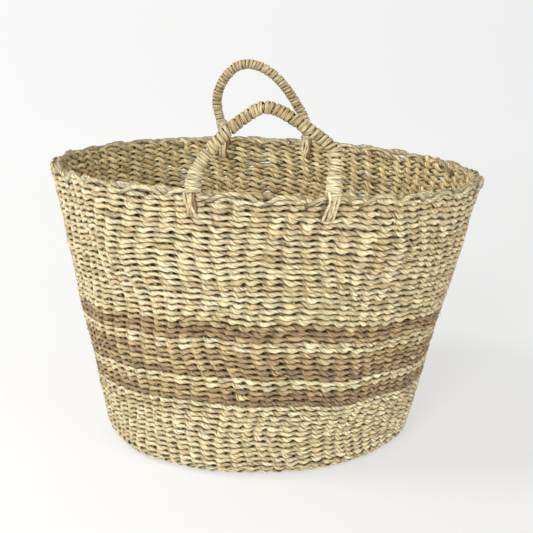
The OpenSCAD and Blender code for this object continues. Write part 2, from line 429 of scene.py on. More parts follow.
def sweep(
    centre, out, half_out, half_up, turn, colour, seed, shade=None, blades=4, groove=GROOVE, edge=0.0
):
    """Sweeps an uneven oval section along each strand, with its edges along the fibres.

    centre and out are (strands, rings, 3); half_out, half_up and turn are (strands, rings). turn is the
    angle by which the fibres have wound round the strand. shade(points) paints shade into the colour in
    recesses, and edge paints shade on the two long edges of the section, where strands lie against others.
    """
    strands, rings = centre.shape[:2]
    along = unit(np.gradient(centre, axis=1))
    out = unit(out - along * np.sum(out * along, -1, keepdims=True))
    up = np.cross(out, along)
    fibre = np.linspace(0, 2 * math.pi, SIDES, endpoint=False) + np.zeros((strands, rings, 1))
    theta = fibre - turn[..., None]
    rng = np.random.default_rng(seed)
    phase = rng.uniform(0, 2 * math.pi, (strands, 1, 1))
    ridge = np.abs(np.sin(0.5 * blades * fibre + phase))
    fade = 1 - GROOVE_FADE + GROOVE_FADE * np.cos(GROOVE_FADE_TURNS * turn[..., None] + 3 * phase)
    blade = np.minimum(GROOVE_STEEP * ridge, 1) - BLADE_MEAN
    rho = 1 + groove * fade * blade + SECTION_UNEVEN * np.cos(fibre + 2.3 * phase)
    cos, sin = np.cos(theta), np.sin(theta)
    points = (
        centre[:, :, None]
        + (half_out[..., None] * rho * cos)[..., None] * out[:, :, None]
        + (half_up[..., None] * rho * sin)[..., None] * up[:, :, None]
    )
    ring = np.arange(rings - 1)[:, None] * SIDES
    side = np.arange(SIDES)[None, :]
    after = (side + 1) % SIDES
    quad = np.stack([ring + side, ring + SIDES + side, ring + SIDES + after, ring + after], -1)
    base = (np.arange(strands) * rings * SIDES)[:, None, None]
    quads = (quad.reshape(1, -1, 4) + base).reshape(-1, 4)
    first = np.arange(SIDES)[None, :]
    last = (rings - 1) * SIDES + np.arange(SIDES)[::-1][None, :]
    caps = np.concatenate([first + base[:, 0], last + base[:, 0]])
    place = np.stack([np.cos(fibre), np.sin(fibre), length_along(centre)[..., None] + 0 * fibre], -1)
    # Painted shade: darker in the grooves between the blades and on the long edges where strands touch
    bright = 1 - GROOVE_SHADE * groove / GROOVE * fade * np.clip(1 - GROOVE_NARROW * ridge, 0, 1)
    bright = bright * (1 - edge * np.clip((np.abs(sin) - EDGE_SHADE_START) / (1 - EDGE_SHADE_START), 0, 1))
    tone = colour[:, :, None] * bright[..., None]
    if shade is not None:
        tone *= shade(points)
    number = np.broadcast_to(rng.uniform(0, 50, (strands, 1, 1)), fibre.shape)
    return points.reshape(-1, 3), quads, caps, tone.reshape(-1, 3), place.reshape(-1, 3), number.ravel()


# How uneven a plain strand is
UNEVEN_WIDTH = 0.08
UNEVEN_TONE = 0.09
SHORTEST_WAVE = 0.008
SHORTEST_ROUND = 0.05
TIP = 0.35  # the width of a tapered strand at its tip, as a share of its full width


def plain_strands(path, out, half_out, half_up, palette, seed, lay=0.030, run=0.06, taper=0, **looks):
    """Strands along given paths, twisted once in each lay, with their own uneven colour and width.

    run is the mean length of one colour, and taper the length over which a strand narrows to its tips.
    """
    rng = np.random.default_rng(seed)
    strands = len(path)
    length = length_along(path)
    around = max(SHORTEST_ROUND, 1.3 * length.max())  # longer than the strand, so that nothing repeats
    waves = (2, max(3, int(around / SHORTEST_WAVE)))
    uneven = 1 + UNEVEN_WIDTH * ripple(rng, strands, length, around, waves)
    if taper:
        ends = np.minimum(length, length[:, -1:] - length) / taper
        uneven = uneven * (TIP + (1 - TIP) * np.clip(ends, 0, 1))
    bright = 1 + UNEVEN_TONE * ripple(rng, strands, length, around, waves)
    colour = dye_runs(rng, palette, strands, length / run, 1.0)
    colour = np.clip(colour * bright[..., None], 0, 1)
    turn = 2 * math.pi * length / lay + rng.uniform(0, 2 * math.pi, (strands, 1))
    out = np.broadcast_to(np.asarray(out, float), path.shape)
    return sweep(path, out, half_out * uneven, half_up * uneven, turn, colour, seed, **looks)


def strand_object(name, sweeps, material, body=None, replaces=()):
    """One object from one or more sweeps, pressed flat where it would sink into the floor."""
    points, quads, caps, tones, places, numbers = [], [], [], [], [], []
    start = 0
    for p, q, c, tone, place, number in sweeps:
        points.append(p)
        quads.append(q + start)
        caps.append(c + start)
        tones.append(np.concatenate([tone, np.ones((len(tone), 1))], 1))
        places.append(place)
        numbers.append(number)
        start += len(p)
    attributes = [
        # The colour attribute holds each strand's own colour with painted shade multiplied in: grooves,
        # flanks, recesses and the inside of the wall
        ("dye_and_painted_shade", "FLOAT_COLOR", "color", np.concatenate(tones)),
        ("fibre", "FLOAT_VECTOR", "vector", np.concatenate(places)),
        ("strand", "FLOAT", "value", np.concatenate(numbers)),
    ]
    points = np.concatenate(points)
    points[:, 2] = np.maximum(points[:, 2], FLOOR_GAP)
    made = mesh_object(name, points, np.concatenate(quads), np.concatenate(caps), material, attributes)
    if body:
        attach(made, body)
    if replaces:
        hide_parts(*replaces)
    return made


# ---- Materials ----

# Grain of the fibres and of the patches: across the strand twice, then along it, per metre
FIBRE_GRAIN = (4.4, 4.4, 90.0)
PATCH_GRAIN = (1.3, 1.3, 60.0)
STREAK_LIGHT = (1.22, 1.22, 1.20)
STREAK_RAMP = (0.38, 0.56)
PATCH_DARK = (1.00, 0.96, 0.86)
PATCH_LIGHT = (1.02, 1.04, 1.06)
PATCH_RAMP = (0.35, 0.65)
ROUGHNESS_SPREAD = 0.12
BUMP_HEIGHT = 0.0009
SHEEN = 0.35


def seagrass(name, streak_dark, roughness, bump):
    """Dried seagrass: the strand's own colour with painted shade in it, streaked along fibres that wind
    round the strand.
    """
    material = bpy.data.materials.new(name)
    material.use_nodes = True
    nodes = material.node_tree.nodes
    links = material.node_tree.links
    shader = nodes["Principled BSDF"]
    dye_and_painted_shade = nodes.new("ShaderNodeAttribute")
    dye_and_painted_shade.attribute_name = "dye_and_painted_shade"
    fibre = nodes.new("ShaderNodeAttribute")
    fibre.attribute_name = "fibre"
    strand = nodes.new("ShaderNodeAttribute")
    strand.attribute_name = "strand"

    def noise(scale, detail):
        stretch = nodes.new("ShaderNodeVectorMath")
        stretch.operation = "MULTIPLY"
        stretch.inputs[1].default_value = scale
        links.new(fibre.outputs["Vector"], stretch.inputs[0])
        texture = nodes.new("ShaderNodeTexNoise")
        texture.noise_dimensions = "4D"
        texture.inputs["Scale"].default_value = 1.0
        texture.inputs["Detail"].default_value = detail
        texture.inputs["Roughness"].default_value = 0.62
        links.new(stretch.outputs["Vector"], texture.inputs["Vector"])
        links.new(strand.outputs["Fac"], texture.inputs["W"])
        return texture.outputs["Fac"]

    def ramp(factor, low, high, span):
        made = nodes.new("ShaderNodeValToRGB")
        made.color_ramp.elements[0].position = span[0]
        made.color_ramp.elements[1].position = span[1]
        made.color_ramp.elements[0].color = (*low, 1)
        made.color_ramp.elements[1].color = (*high, 1)
        links.new(factor, made.inputs["Fac"])
        return made.outputs["Color"]

    def multiply(first, second):
        made = nodes.new("ShaderNodeMix")
        made.data_type = "RGBA"
        made.blend_type = "MULTIPLY"
        made.inputs["Factor"].default_value = 1.0
        links.new(first, made.inputs["A"])
        links.new(second, made.inputs["B"])
        return made.outputs["Result"]

    fibres = noise(FIBRE_GRAIN, 3.0)
    patches = noise(PATCH_GRAIN, 2.0)
    streaks = ramp(fibres, streak_dark, STREAK_LIGHT, STREAK_RAMP)
    tints = ramp(patches, PATCH_DARK, PATCH_LIGHT, PATCH_RAMP)
    links.new(multiply(multiply(dye_and_painted_shade.outputs["Color"], streaks), tints), shader.inputs["Base Color"])
    rough = nodes.new("ShaderNodeMapRange")
    rough.inputs["To Min"].default_value = roughness + ROUGHNESS_SPREAD
    rough.inputs["To Max"].default_value = roughness - ROUGHNESS_SPREAD
    links.new(fibres, rough.inputs["Value"])
    links.new(rough.outputs["Result"], shader.inputs["Roughness"])
    raised = nodes.new("ShaderNodeBump")
    raised.inputs["Strength"].default_value = bump
    raised.inputs["Distance"].default_value = BUMP_HEIGHT
    links.new(fibres, raised.inputs["Height"])
    links.new(raised.outputs["Normal"], shader.inputs["Normal"])
    shader.inputs["Specular IOR Level"].default_value = SHEEN
    return material


natural = seagrass("natural_seagrass_strands", (0.36, 0.29, 0.19), 0.60, 1.0)
taupe = seagrass("brown_seagrass_strands", (0.34, 0.28, 0.21), 0.64, 1.0)
wrapping = seagrass("pale_seagrass_wrapping", (0.50, 0.43, 0.32), 0.60, 0.7)
cordage = seagrass("seagrass_cordage", (0.40, 0.33, 0.23), 0.62, 0.9)


# ---- Twined rows ----

RINGS_PER_STITCH = 9
TWINE_OUT = 0.0034  # how far a strand's middle swings out from the middle of the wall
TWINE_UP = 0.0013  # how far it climbs and dives between two stakes
TWINE_DIP = 0.0012  # how far it dips where it comes out and rises again before it goes back in
TWINE_THICK = 0.0020  # half its thickness over a stake
TWINE_PITCH = 0.006  # the height of a row that the climb and the dip are meant for
FULL_SPREAD = 0.010  # closer than this, the stakes leave room for thinner strands only
WIDE_MEAN = 0.93  # a strand's width, against the height of its row
WIDE_SWAY = 0.09  # how much wider and narrower it gets between two stakes
WIDE_LAG = 0.3
LAY = 0.29  # turns of the fibres round a strand, in each stitch, seen from the turning strand
COLOUR_RUN = 13  # mean stitches of one colour
FLANK_SHADE = 0.95  # painted shade: how much darker a strand is drawn where it touches the rows above and below
FLANK_MEAN = 0.60  # the share of that which it has all along
FLANK_LAG = 1.0
FLANK_SHADE_MOST = 0.97
FLANK_START = 0.57  # where that starts: a share of half a row's height
FLANK_SPAN = 0.30
INSIDE_SHADE = (0.10, 0.14, 0.25)  # painted shade: how much darker and browner the inside of the wall is drawn, where less light gets in
MIDDLE_BRIGHT = 0.08  # painted shade: how bright the middle of the wall is drawn, against its two faces
MIDDLE_START = 0.10  # how far from the middle it gets brighter, as a share of half the wall
MIDDLE_SPAN = 0.58

# How uneven each measure of a twined strand is
UNEVEN_LIFT = 0.05  # of a row
UNEVEN_SWING = 0.06
UNEVEN_CLIMB = 0.25
UNEVEN_DIP = 0.3
UNEVEN_THICK = 0.10
UNEVEN_WIDE = 0.13
UNEVEN_TURN = 0.12  # of a turn
UNEVEN_BRIGHT = 0.10
# How uneven the painted shade on the flanks is
UNEVEN_FLANK_SHADE = 0.35


def middle_shade(points, centre, out):
    """Painted shade: darker in the middle of the wall, where less light reaches, than on its two faces."""
    depth = np.abs(np.sum((points - centre[:, :, None]) * out[:, :, None], -1)) / HALF_WALL
    step = np.clip((depth - MIDDLE_START) / MIDDLE_SPAN, 0, 1)
    return MIDDLE_BRIGHT + (1 - MIDDLE_BRIGHT) * step * step * (3 - 2 * step)


def twined_rows(rows, stitches, palette, seed):
    """Pairs of strands that cross between the stakes, in each of the rows."""
    rng = np.random.default_rng(seed)
    rows = np.repeat(np.array(rows, float), 2)
    strands = len(rows)
    rings = stitches * RINGS_PER_STITCH + 1
    start = rng.integers(0, stitches, strands // 2).repeat(2)
    u = start[:, None] + np.linspace(0, stitches, rings)[None, :]

    def uneven(fewest, most):
        return ripple(rng, strands, u, stitches, (fewest, most))

    side = np.tile([0.0, math.pi], strands // 2)[:, None]
    phase = math.pi * (u - 0.5) + side
    row = rows[:, None] + 0.5 + 0 * u
    a = 2 * math.pi * u / stitches
    wander, lift = drift(a, row)
    lift = lift + UNEVEN_LIFT * uneven(5, 30)
    centre, out, up = skin_frame(a + wander, row + lift)
    low = row - 0.5 + drift(a, row - 0.5)[1]
    high = row + 0.5 + drift(a, row + 0.5)[1]
    pitch = np.linalg.norm(skin(a, high) - skin(a, low), axis=-1)
    spread = 2 * math.pi * np.hypot(centre[..., 0] - FLOOR_CENTRE_X, centre[..., 1]) / stitches

    # The middle of each strand
    swing = TWINE_OUT * (1 + UNEVEN_SWING * uneven(8, stitches))
    climb = TWINE_UP * pitch / TWINE_PITCH * (1 + UNEVEN_CLIMB * uneven(8, stitches))
    middle = centre + bulge(a, row)[..., None] * out
    dip = TWINE_DIP * pitch / TWINE_PITCH * (1 + UNEVEN_DIP * uneven(8, stitches))
    rise = dip * np.sin(2 * phase) - climb * np.sin(phase)
    path = middle + (swing * np.cos(phase))[..., None] * out + rise[..., None] * up
    section_out = np.cos(phase)[..., None] * out - np.sin(phase)[..., None] * up

    # Its section, a little wider where it comes out between two stakes than where it goes back in
    thick = TWINE_THICK * np.minimum(1, spread / FULL_SPREAD)
    thick = thick * (1 + UNEVEN_THICK * uneven(6, stitches))
    wide = 0.50 * pitch * (1 + UNEVEN_WIDE * uneven(6, 2 * stitches))
    wide = wide * (WIDE_MEAN - WIDE_SWAY * np.sin(2 * phase - WIDE_LAG))
    turns = LAY * u + UNEVEN_TURN * uneven(3, 20)

    # Its colour, and the painted shade on its flanks
    bright = 1 + UNEVEN_BRIGHT * uneven(10, stitches)
    pairs = [dye_runs(rng, palette, 2, u[k:k + 2], COLOUR_RUN) for k in range(0, strands, 2)]
    colour = np.clip(np.concatenate(pairs) * bright[..., None], 0, 1)
    dark = FLANK_SHADE * (FLANK_MEAN + (1 - FLANK_MEAN) * np.cos(2 * phase - FLANK_LAG))
    dark = np.clip(dark * (1 + UNEVEN_FLANK_SHADE * uneven(20, 3 * stitches)), 0, FLANK_SHADE_MOST)

    # Painted shade: darker on the flanks where rows meet, in the middle of the wall and on its inside
    def shade(points):
        height = np.abs(np.sum((points - path[:, :, None]) * up[:, :, None], -1))
        flank = np.clip((height / (0.5 * pitch[..., None]) - FLANK_START) / FLANK_SPAN, 0, 1)
        inward = np.sum((middle[:, :, None] - points) * out[:, :, None], -1) / HALF_WALL
        inside = np.clip(2 * inward, 0, 1)[..., None] * INSIDE_SHADE
        faces = middle_shade(points, middle, out) * (1 - dark[..., None] * flank)
        return faces[..., None] * (1 - inside)

    return sweep(path, section_out, thick, wide, 2 * math.pi * turns, colour, seed + 1, shade=shade)


# Each band from the bottom up: its name, the node that it stands for, its rows, and whether it is brown
BANDS = [
    ("lower_wall", "lower_wall_weave", 11, False),
    ("lower_brown_stripe", "lower_brown_stripe", 3, True),
    ("lower_natural_stripe", "lower_natural_stripe", 2, False),
    ("middle_brown_stripe", "middle_brown_stripe", 5, True),
    ("upper_natural_stripe", "upper_natural_stripe", 2, False),
    ("upper_brown_stripe", "upper_brown_stripe", 3, True),
    ("upper_wall", "upper_wall_weave", 21, False),
]
MOST_ROWS = 4  # in one piece


def make_wall():
    """The bands of the wall, each in one piece or more."""
    first = 0
    for name, node, rows, brown in BANDS:
        palette, material, slot = STRAW, natural, "natural_seagrass"
        if brown:
            palette, material, slot = BROWN, taupe, "brown_seagrass"
        parts = math.ceil(rows / MOST_ROWS)
        for k in range(parts):
            low = first + rows * k // parts
            high = first + rows * (k + 1) // parts
            strands = twined_rows(range(low, high), STAKES, palette, 100 + low)
            title = f"{name}_strands_{k + 1}" if parts > 1 else f"{name}_strands"
            strand_object(title, [strands], material, "basket", [node])
        first += rows


# Rings of the floor: name, from and to how many rows in from the heel, stitches in a round, and seed
FLOOR_RINGS = [
    ("base_inner_ring_strands", 8, 16, STAKES // 2, 42),
    ("base_middle_ring_strands", 4, 8, STAKES, 41),
    ("base_outer_ring_strands", 0, 4, STAKES, 40),
]
CENTRE_FROM = 16
CENTRE_STITCHES = 24

CROSS_RODS = 6  # in each of its two layers
CROSS_HALF_LENGTH = 0.034
CROSS_PITCH = 0.0058
CROSS_RISE = 0.0022  # how far each layer is above or below the middle of the floor
CROSS_STRAY = 0.0004
CROSS_RINGS = 30
CROSS_HALF = (0.0021, 0.0030)  # half a rod's thickness and width

SPOKES = STAKES // 2
SPOKE_FROM = 0.030
SPOKE_TO = 0.156
SPOKE_RINGS = 40
SPOKE_HALF = (0.0016, 0.0018)


def make_floor_weave():
    """Twined rows round the heel and over the floor, with fewer stitches in a round towards the middle."""
    heel = twined_rows(range(-HEEL_ROWS, 0), STAKES, STRAW, 60)
    strand_object("heel_strands", [heel], natural, "basket", ["heel_weave"])
    edge = -HEEL_ROWS
    for name, first, last, stitches, seed in FLOOR_RINGS:
        strands = twined_rows(range(edge - last, edge - first), stitches, STRAW, seed)
        strand_object(name, [strands], natural, "basket", ["base_outer_weave"])
    rows = range(edge - FLOOR_ROWS - 1, edge - CENTRE_FROM)
    centre = twined_rows(rows, CENTRE_STITCHES, STRAW, 44)
    strand_object(
        "base_centre_strands", [centre], natural, "basket", ["base_centre_weave"]
    )


def make_cross_and_spokes():
    """The two crossed layers of rods that the floor starts on, and the spokes that run out from them."""
    rods = 2 * CROSS_RODS
    rng = np.random.default_rng(46)
    x = np.linspace(-CROSS_HALF_LENGTH, CROSS_HALF_LENGTH, CROSS_RINGS)[None, :] + np.zeros((rods, 1))
    y = ((np.arange(rods) % CROSS_RODS) - (CROSS_RODS - 1) / 2)[:, None] * CROSS_PITCH
    y = y + CROSS_STRAY * ripple(rng, rods, x, 4 * CROSS_HALF_LENGTH, (1, 3))
    layer = np.repeat([-1.0, 1.0], CROSS_RODS)[:, None]
    across = layer > 0
    rod = np.stack([
        np.where(across, y, x) + FLOOR_CENTRE_X,
        np.where(across, x, y),
        HALF_WALL + layer * CROSS_RISE + 0 * x,
    ], -1)
    cross = plain_strands(rod, (0, 0, 1), *CROSS_HALF, STRAW, 47)
    strand_object("base_cross_rods", [cross], cordage, "basket", ["base_cross"])

    a = 2 * math.pi * (np.arange(SPOKES) + 0.5)[:, None] / SPOKES
    r = np.linspace(SPOKE_FROM, SPOKE_TO, SPOKE_RINGS)[None, :]
    spoke = np.stack([FLOOR_CENTRE_X + r * np.cos(a), r * np.sin(a), HALF_WALL + 0 * a * r], -1)
    spokes = plain_strands(spoke, (0, 0, 1), *SPOKE_HALF, STRAW, 48)
    strand_object("base_spoke_strands", [spokes], cordage, "basket", ["base_spokes"])


STAKE_ROWS = (-HEEL_ROWS - 8, WALL_ROWS + 0.9)  # from 8 rows in from the heel up into the border
STAKE_RINGS = 80
STAKE_HALF = (0.0015, 0.0018)


def make_stakes():
    """Upright stakes from between the spokes of the floor, round the heel and up into the border."""
    row = np.linspace(*STAKE_ROWS, STAKE_RINGS)[None, :] + np.zeros((STAKES, 1))
    a = 2 * math.pi * (np.arange(STAKES) + 0.5)[:, None] / STAKES + 0 * row
    wander, _ = drift(a, row)
    path, out, _ = skin_frame(a + wander, row)
    path = path + bulge(a, row)[..., None] * out
    stakes = plain_strands(path, out, *STAKE_HALF, STRAW, 50)
    strand_object("stake_strands", [stakes], cordage, "basket", ["warp_stakes"])


# ---- Smooth paths through a few points ----


def smooth_path(points, steps, closed=False):
    """A smooth curve through points, with a number of steps between each two."""
    points = np.array(points, float)
    if closed:
        points = np.concatenate([points[-1:], points, points[:2]])
    else:
        points = np.concatenate([points[:1], points, points[-1:]])
    t = np.linspace(0, 1, steps, endpoint=False)[:, None]
    spans = []
    for p0, p1, p2, p3 in zip(points, points[1:], points[2:], points[3:]):
        m1, m2 = (p2 - p0) / 2, (p3 - p1) / 2
        spans.append(
            p1 * (2 * t**3 - 3 * t**2 + 1) + m1 * (t**3 - 2 * t**2 + t)
            + p2 * (3 * t**2 - 2 * t**3) + m2 * (t**3 - t**2)
        )
    return np.concatenate(spans + [points[-2:-1]])


# ---- Border ----

# A bent-over stake: how far along it is, in stakes, how far out from the middle of the wall, and how far
# above the rim
BORDER_ARC = [
    (0.00, 0.0000, -0.0170), (0.25, 0.0030, -0.0122), (0.60, 0.0046, -0.0082), (1.05, 0.0044, -0.0038),
    (1.45, 0.0040, -0.0024), (1.95, 0.0036, -0.0026), (2.35, 0.0030, -0.0048), (2.65, 0.0018, -0.0085),
    (2.85, 0.0004, -0.0130),
]
BORDER_DARK = 0.18  # painted shade: how bright the border is drawn below, and how much brighter it gets on top
BORDER_BRIGHTER = 0.70
BORDER_DARK_BELOW = 0.0135  # it is darkest from this far below the rim down
BORDER_DARK_SPAN = 0.0085
BORDER_STAKES = 30  # bent over on each face of the wall
BORDER_HALF = (0.0022, 0.0023)
BORDER_LAY = 0.026
BORDER_SHORTER = (0.85, 1.0)  # how far along each one reaches, against the arc above
BORDER_OUT = (0.9, 1.12)  # how far out each one lies, against the arc above
BORDER_STRAY = 0.0006  # up and down

FILLING_DROP = 0.0040  # how far the middle of the filling is below the rim
FILLING_HALF = (0.0021, 0.0027)
FILLING_SHADE = 0.7  # painted shade: how bright it is drawn against the bent-over stakes, as it lies under them
FILLING_LAY = 0.020


def border_shade(points):
    """Painted shade: darker below the border than on top of it."""
    below = rim_z(np.arctan2(points[..., 1], points[..., 0])) - points[..., 2]
    step = np.clip((BORDER_DARK_BELOW - below) / BORDER_DARK_SPAN, 0, 1)
    return (BORDER_DARK + BORDER_BRIGHTER * step)[..., None]


def border_arcs(side, first, seed):
    """Stakes bent over to the right on one face of the wall: side is 1 outside and -1 inside."""
    rng = np.random.default_rng(seed)
    arc = smooth_path(BORDER_ARC, 6)
    count = BORDER_STAKES
    stakes = (np.arange(count) * STAKES / count + first + rng.uniform(-0.3, 0.3, count))[:, None]
    along = stakes + 0.5 + arc[None, :, 0] * rng.uniform(*BORDER_SHORTER, (count, 1))
    a = 2 * math.pi * along / STAKES
    z = rim_z(a) + arc[None, :, 2] + rng.normal(0, BORDER_STRAY, (count, 1))
    out = side * arc[None, :, 1] * rng.uniform(*BORDER_OUT, (count, 1))
    wander, _ = drift(a, WALL_ROWS + 0 * a)
    path = wall_point(a + wander, z, HALF_WALL - out)
    outward = side * np.stack([np.cos(a), np.sin(a), 0.35 + 0 * a], -1)
    # Painted shade below the border and on the long edges of the bent-over stakes
    return plain_strands(
        path, outward, *BORDER_HALF, STRAW, seed + 1, lay=BORDER_LAY, shade=border_shade, edge=0.6
    )


def border_filling(seed):
    """A strand laid along the rim under the bent-over stakes, which closes the gaps below them."""

    # Painted shade: darker still, as it lies under the bent-over stakes
    def shade(points):
        return FILLING_SHADE * border_shade(points)

    a = np.linspace(0, 2 * math.pi, 6 * STAKES + 1)[None, :]
    wander, _ = drift(a, WALL_ROWS + 0 * a)
    path = wall_point(a + wander, rim_z(a) - FILLING_DROP, HALF_WALL + 0 * a)
    outward = np.stack([np.cos(a), np.sin(a), 0 * a], -1)
    return plain_strands(
        path, outward, *FILLING_HALF, STRAW, seed, lay=FILLING_LAY, shade=shade, blades=2, groove=0.28
    )


def make_border():
    """A twined row, a strand laid over it, and stakes bent over both on the two faces of the wall."""
    under = twined_rows([WALL_ROWS], STAKES, STRAW, 70)
    strands = [under, border_filling(75), border_arcs(1, 0, 71), border_arcs(-1, 1, 73)]
    strand_object(
        "rim_border_strands", strands, natural, "basket", ["rim_border"]
    )


# ---- Handles ----

# Each handle in its own plane: across, and up from its hinge line
FRONT_ROUTE = [
    (-0.068, 0), (-0.065, 0.010), (-0.056, 0.026), (-0.043, 0.042), (-0.025, 0.059), (-0.004, 0.073),
    (0.015, 0.070), (0.040, 0.056), (0.056, 0.046), (0.067, 0.037), (0.071, 0.027), (0.071, 0.010),
    (0.071, 0),
]
BACK_ROUTE = [
    (-0.058, 0), (-0.062, 0.010), (-0.067, 0.027), (-0.068, 0.044), (-0.062, 0.063), (-0.048, 0.081),
    (-0.030, 0.088), (-0.010, 0.084), (0.008, 0.073), (0.026, 0.054), (0.039, 0.035), (0.046, 0.025),
    (0.053, 0.010), (0.054, 0),
]
FRONT_LEAN = math.radians(-7)
BACK_LEAN = math.radians(4)
HINGE_RISE = 0.010  # how far the hinge line is above the end of a handle's feet
LEFT_FOOT_LEAN = 0.001  # how far the left foot goes on outward below the hinge line
LINE_STEPS = 40  # between two points of a route

CORE_CORDS = 3
CORE_R = 0.0020  # from the middle line to the middle of each cord
CORE_HALF = 0.0021
CORE_LAY = 0.045
CORE_STEP = 0.0016

WRAP_OUT_R = 0.0066
WRAP_WIDE = 0.475  # half the wound strand's width, as a share of its pitch
# Painted shade on the long edges of the wound strand's turns
WRAP_EDGE_SHADE = 0.97
WRAP_GAP_SHADE = 0.12  # painted shade: how bright the deep gap between two turns is
GAP_SHADE_SPAN = (0.1, 0.75)  # where a turn gets brighter, and over how much, in halves of its thickness
RINGS_PER_TURN = 22
UNEVEN_WRAP = 0.10  # of the pitch
UNEVEN_WRAP_R = 0.025

# Where the wound parts of a handle change, measured along it from the nearer foot
OVERWRAP_END = 0.020
WHIPPING_END = {"left": 0.040, "right": 0.036}
WHIPPING_BELOW = 0.004  # how far it goes on down past the foot, into the border
WHIPPING_FLARE = 0.0014  # how much wider it is there
FINE_LAP = 0.004  # how far its fine turns go on under the thicker ones
WRAP_LAP = 0.001  # and how far past the start of the handle's own winding
WHIPPING_PITCH = 0.0030
FINE = (WHIPPING_PITCH, 0.0051, 0.0011)  # pitch, radius and half the strand's thickness
UNDER = (WHIPPING_PITCH, 0.0060, 0.0012)
OVER = (0.0062, 0.0068, 0.0010)
OVER_SHORT = 0.001  # how much sooner the outer layer ends than the one under it
SOFT = {"edge": 0.40, "hollow": 0.40}  # a whipping's turns lie closer, so less shade is painted between them


class Handle:
    """A handle's middle line, from one foot on the rim to the other, and the directions round it."""

    def __init__(self, joint_name, body, route, lean):
        joint = next(j for j in frame["joints"] if j["name"] == joint_name)
        self.body = body
        axis = Vector(joint["axis"])
        fall = Matrix.Rotation(math.atan2(-axis.z, axis.x), 3, "Y")
        turned = np.array(fall @ Matrix.Rotation(lean, 3, "X"))
        across, self.side, self.up = turned.T
        self.hinge = np.array(joint["pos_m"])
        first = (route[0][0] - LEFT_FOOT_LEAN, -HINGE_RISE)
        last = (route[-1][0], -HINGE_RISE)
        flat = smooth_path([first, *route, last], LINE_STEPS)
        self.line = self.hinge + flat[:, :1] * across + flat[:, 1:] * self.up
        steps = np.linalg.norm(np.diff(self.line, axis=0, prepend=self.line[:1]), axis=1)
        self.at = np.cumsum(steps)
        self.length = self.at[-1]

    def point(self, s):
        """The middle line at distance s, going straight on down past either foot."""
        past = np.minimum(s, 0) + np.minimum(self.length - s, 0)
        on_line = np.stack([np.interp(s, self.at, self.line[:, k]) for k in range(3)], -1)
        return on_line + past[..., None] * self.up

    def round(self, s, angle):
        """The direction out of the middle line at distance s, turned by angle about it."""
        near = 0.002
        way = unit(self.point(s + near) - self.point(s - near))
        normal = unit(np.cross(way, self.side))
        return np.cos(angle)[..., None] * normal + np.sin(angle)[..., None] * self.side

    def winding(
        self, start, end, pitch, radius, half_thick, palette, seed,
        slope=1, wide=0.52, flare=(0, 0), edge=WRAP_EDGE_SHADE, hollow=WRAP_GAP_SHADE,
    ):
        """A strand wound round the line from start to end. pitch is the step of one turn.

        slope is 1 or -1, for the way that it winds, and wide is half its width as a share of the pitch.
        flare is how much wider the winding is at each end. The last two arguments set the painted shade on
        the strand's long edges and in the gaps between its turns.
        """
        rng = np.random.default_rng(seed)
        turns = (end - start) / pitch
        rings = int(turns * RINGS_PER_TURN) + 1
        t = np.linspace(0, turns, rings)[None, :]
        uneven = ripple(rng, 1, t, 2 * turns, (int(turns / 4) + 1, int(turns) + 2))
        s = start + (end - start) * t / turns + UNEVEN_WRAP * pitch * uneven
        angle = slope * 2 * math.pi * t
        out = self.round(s, angle)
        lumps = ripple(rng, 1, t, 2 * turns, (int(turns / 3) + 1, int(3 * turns) + 2))
        wider = np.interp(t / turns, (0, 1), flare)
        path = self.point(s) + (radius * (1 + UNEVEN_WRAP_R * lumps) + wider)[..., None] * out
        middle = self.point(s)[:, :, None]

        # Painted shade: darker deep between the turns, near the middle line
        def shade(points):
            height = np.linalg.norm(points - middle, axis=-1) - radius - wider[..., None]
            step = np.clip((height - GAP_SHADE_SPAN[0] * half_thick) / (GAP_SHADE_SPAN[1] * half_thick), 0, 1)
            return (hollow + (1 - hollow) * step)[..., None]

        return plain_strands(
            path, out, half_thick, wide * pitch, palette, seed, lay=0.09, run=0.11,
            shade=shade, blades=4, groove=0.16, edge=edge,
        )

    def core(self, seed):
        """Cords twisted round the middle line, inside the wrapping."""
        s = np.linspace(0, self.length, int(self.length / CORE_STEP))[None, :] + np.zeros((CORE_CORDS, 1))
        angle = 2 * math.pi * (s / CORE_LAY + np.arange(CORE_CORDS)[:, None] / CORE_CORDS)
        out = self.round(s, angle)
        return plain_strands(self.point(s) + CORE_R * out, out, CORE_HALF, CORE_HALF, STRAW, seed)

    def foot_blend(self, piece):
        """Bakes a piece's placement into its mesh."""
        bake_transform(piece)


def make_handle(name, handle, pitch, half_thick, seed, **looks):
    """The core of a handle, and the strand wound round it between the two whippings."""
    core = handle.core(seed)
    piece = strand_object(
        f"{name}_core_strands", [core], cordage, None, [f"{name}_core"]
    )
    handle.foot_blend(piece)
    start, end = WHIPPING_END["left"], handle.length - WHIPPING_END["right"]
    radius = WRAP_OUT_R - half_thick
    wrap = handle.winding(
        start, end, pitch, radius, half_thick, PALE, seed + 1, wide=WRAP_WIDE, **looks
    )
    strand_object(
        f"{name}_wrap_strand", [wrap], wrapping, handle.body, [f"{name}_wrap"]
    )


